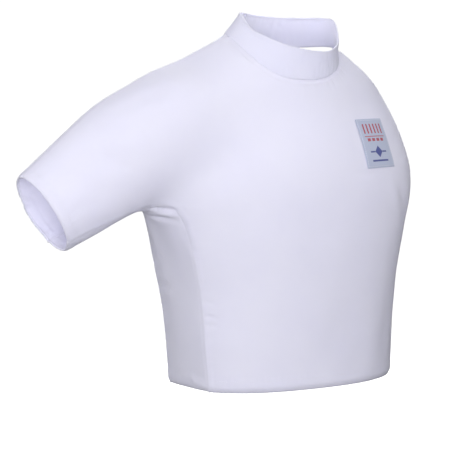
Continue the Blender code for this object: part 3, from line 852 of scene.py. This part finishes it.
# %% Sewing thread
# Spun cotton is the colour of the cloth and shines a little more.
cotton, cotton_surface, flat = start_material("spun_sewing_thread", 0.6, 0.2)
cotton_surface.inputs["Base Color"].default_value = linear("#E9E8F4")

# %% Woven label
# Damask polyester, tight and flat. Its ground is a pale blue, and its marks are plain bars, squares and a
# diamond in red and navy, which stand up a little from the ground as woven figures do.
RED, NAVY = "#B95762", "#555D9C"
MARKS = (
    # shape, centre across and up, half width and half height, all in millimetres from the middle
    ("box", -20.0, 21.0, 1.6, 7.2, RED),
    ("box", -12.0, 21.0, 1.6, 7.2, RED),
    ("box", -4.0, 21.0, 1.6, 7.2, RED),
    ("box", 4.0, 21.0, 1.6, 7.2, RED),
    ("box", 12.0, 21.0, 1.6, 7.2, RED),
    ("box", 20.0, 21.0, 1.6, 7.2, RED),
    ("box", 0.0, 9.5, 23.0, 0.6, RED),
    ("box", -15.0, 4.5, 3.4, 2.2, RED),
    ("box", -5.0, 4.5, 3.4, 2.2, RED),
    ("box", 5.0, 4.5, 3.4, 2.2, RED),
    ("box", 15.0, 4.5, 3.4, 2.2, RED),
    ("diamond", 0.0, -13.0, 8.5, 8.5, NAVY),
    ("box", -13.5, -13.0, 5.0, 1.1, NAVY),
    ("box", 13.5, -13.0, 5.0, 1.1, NAVY),
    ("box", 0.0, -26.0, 18.0, 1.3, NAVY),
)
LABEL_THREADS = 1.0
woven, woven_surface, flat = start_material("woven_label", 0.66, 0.1)
threads = wave(woven, flat, LABEL_THREADS, "Y")
ground = add(woven, "ShaderNodeMix", {"data_type": "RGBA"}, Factor=threads)
ground.inputs[6].default_value = linear("#B8C0D8")
ground.inputs[7].default_value = linear("#C6CCDF")
colour = ground.outputs[2]
raised = threads
for shape, x, y, half_width, half_height, paint in MARKS:
    moved = add(woven, "ShaderNodeVectorMath", {"operation": "SUBTRACT"}, _0=flat, _1=(x, y, 0)).outputs[0]
    size = (half_width, half_height, 1)
    shrunk = add(woven, "ShaderNodeVectorMath", {"operation": "DIVIDE"}, _0=moved, _1=size).outputs[0]
    sized = add(woven, "ShaderNodeVectorMath", {"operation": "ABSOLUTE"}, _0=shrunk).outputs[0]
    across, up = add(woven, "ShaderNodeSeparateXYZ", Vector=sized).outputs[:2]
    how = {"operation": "MAXIMUM" if shape == "box" else "ADD"}
    reach = add(woven, "ShaderNodeMath", how, _0=across, _1=up).outputs[0]
    inside = add(woven, "ShaderNodeMath", {"operation": "LESS_THAN"}, _0=reach, _1=1.0).outputs[0]
    mixed = add(woven, "ShaderNodeMix", {"data_type": "RGBA"}, Factor=inside)
    woven.node_tree.links.new(colour, mixed.inputs[6])
    mixed.inputs[7].default_value = linear(paint)
    colour = mixed.outputs[2]
    raised = add(woven, "ShaderNodeMath", {"operation": "ADD"}, _0=raised, _1=inside).outputs[0]
woven.node_tree.links.new(colour, woven_surface.inputs["Base Color"])
bump = add(woven, "ShaderNodeBump", Height=raised, Strength=0.6, Distance=WEAVE_RELIEF)
woven.node_tree.links.new(bump.outputs["Normal"], woven_surface.inputs["Normal"])

# %% [markdown]
# ## Each piece stands for its solid
# A dressed piece replaces its solid in the picture, while the solid stays behind it for collisions.

# %% Replace and ride
# Cloth has no joints, so every piece rides on the one body.
FINISH = {"label": woven, "strap": webbing, "collar": collar_shaded_white}
for node, piece in cloth.items():
    piece.data.materials.append(FINISH.get(node, white))
    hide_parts(node)
    sewn_on = thread[node]
    sewn_on.data.materials.append(cotton)
    for part in (piece, sewn_on):
        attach(part, BODY)
    width, length, area = FLAT[piece.name]
    print(f"{piece.name} stands for {node}, {len(piece.data.polygons)} faces")

# %% [markdown]
# ## Camera, light and a plain white room
# The camera stands 2.6 m away, 35 degrees to the wearer's right. White cloth shows its form only by shade, so
# the garment is lit by many weak softboxes, and the panel under the arm is left to the darker side. The room
# around it is one white sphere that the camera sees and that lights nothing.

# %% Camera
AZIMUTH = math.radians(-35.0)
ELEVATION = math.radians(5.0)
DISTANCE = 2.6
TARGET = Vector((-0.0545, 0.038, -0.229))
LENS = 139.6
back_to_camera = Vector(
    (
        math.sin(AZIMUTH) * math.cos(ELEVATION),
        -math.cos(AZIMUTH) * math.cos(ELEVATION),
        math.sin(ELEVATION),
    )
)
camera = bpy.data.objects.new("camera", bpy.data.cameras.new("camera"))
camera.data.lens = LENS
camera.location = TARGET + DISTANCE * back_to_camera
camera.rotation_euler = back_to_camera.to_track_quat("Z", "Y").to_euler()
bpy.context.scene.collection.objects.link(camera)
bpy.context.scene.camera = camera


# %% Lights
# Each row gives a softbox's azimuth and elevation as seen from the garment, and its share of the key's power.
KEY_POWER = 14.0
SOFTBOXES = {
    "key": (-35, 5, 1.0),
    "behind": (145, 30, 1.0),
    "top": (0, 88, 1 / 2),
    "left_side": (-115, 10, 1 / 2),
    "right_side": (45, 15, 1 / 3),
    "low": (-35, -25, 1 / 3),
    "right_high": (20, 50, 1 / 3),
    "left_high": (-75, 50, 1 / 6),
}
SOFTBOX_DISTANCE = 1.6
SOFTBOX_SIZE = 0.9
COOL_WHITE = "#FCFCFF"


def softbox(name, azimuth, elevation, power):
    """A square studio light that faces the garment."""
    light = bpy.data.objects.new(name, bpy.data.lights.new(name, "AREA"))
    light.data.shape = "SQUARE"
    light.data.size = SOFTBOX_SIZE
    light.data.energy = power
    light.data.color = linear(COOL_WHITE)[:3]
    a, e = math.radians(azimuth), math.radians(elevation)
    away = Vector((math.sin(a) * math.cos(e), -math.cos(a) * math.cos(e), math.sin(e)))
    light.location = TARGET + SOFTBOX_DISTANCE * away
    light.rotation_euler = away.to_track_quat("Z", "Y").to_euler()
    bpy.context.scene.collection.objects.link(light)


for name, (azimuth, elevation, share) in SOFTBOXES.items():
    softbox(name, azimuth, elevation, share * KEY_POWER)
print(len(SOFTBOXES), "softboxes")

# %% Two small lamps inside, and the faint light of the room
# The photograph shows the insides of the collar and the cuff as bright as the outside.
LAMP_RADIUS = 15 * MM
LAMPS = {
    # place in millimetres, and power in watts
    "in_the_collar": ((0, -19, 45), 0.06),
    "in_the_cuff": ((-340, -8, -160), 0.02),
}
for name, (place, power) in LAMPS.items():
    lamp = bpy.data.objects.new(name, bpy.data.lights.new(name, "POINT"))
    lamp.data.energy = power
    lamp.data.shadow_soft_size = LAMP_RADIUS
    lamp.location = Vector(place) * MM
    lamp.visible_camera = False
    bpy.context.scene.collection.objects.link(lamp)
ROOM_LIGHT = 0.06
world = bpy.data.worlds.new("soft_room")
world.use_nodes = True
world.node_tree.nodes["Background"].inputs["Color"].default_value = linear("#E4E6F8")
world.node_tree.nodes["Background"].inputs["Strength"].default_value = ROOM_LIGHT
bpy.context.scene.world = world
bpy.context.scene.view_settings.view_transform = "Standard"

# %% A pale floor and a white room, seen by the camera alone
FLOOR_DROP = 0.25
ROOM_RADIUS = 12
FLOOR_SIZE = 20
bpy.ops.object.select_all(action="DESELECT")
bpy.ops.mesh.primitive_uv_sphere_add(segments=64, ring_count=32, radius=ROOM_RADIUS, location=TARGET)
room = bpy.context.object
room.name = "white_room"
bpy.ops.mesh.primitive_plane_add(size=FLOOR_SIZE, location=(0, 0, CAD_BOX[0].z - FLOOR_DROP))
floor = bpy.context.object
floor.name = "pale_floor"
glow = bpy.data.materials.new("white_paper")
glow.use_nodes = True
surface = glow.node_tree.nodes["Principled BSDF"]
surface.inputs["Base Color"].default_value = linear("#FFFFFF")
surface.inputs["Emission Color"].default_value = linear("#FFFFFF")
surface.inputs["Emission Strength"].default_value = 1.0
for part in (room, floor):
    part.data.materials.append(glow)
    part.visible_diffuse = False
    part.visible_glossy = False
    part.visible_shadow = False
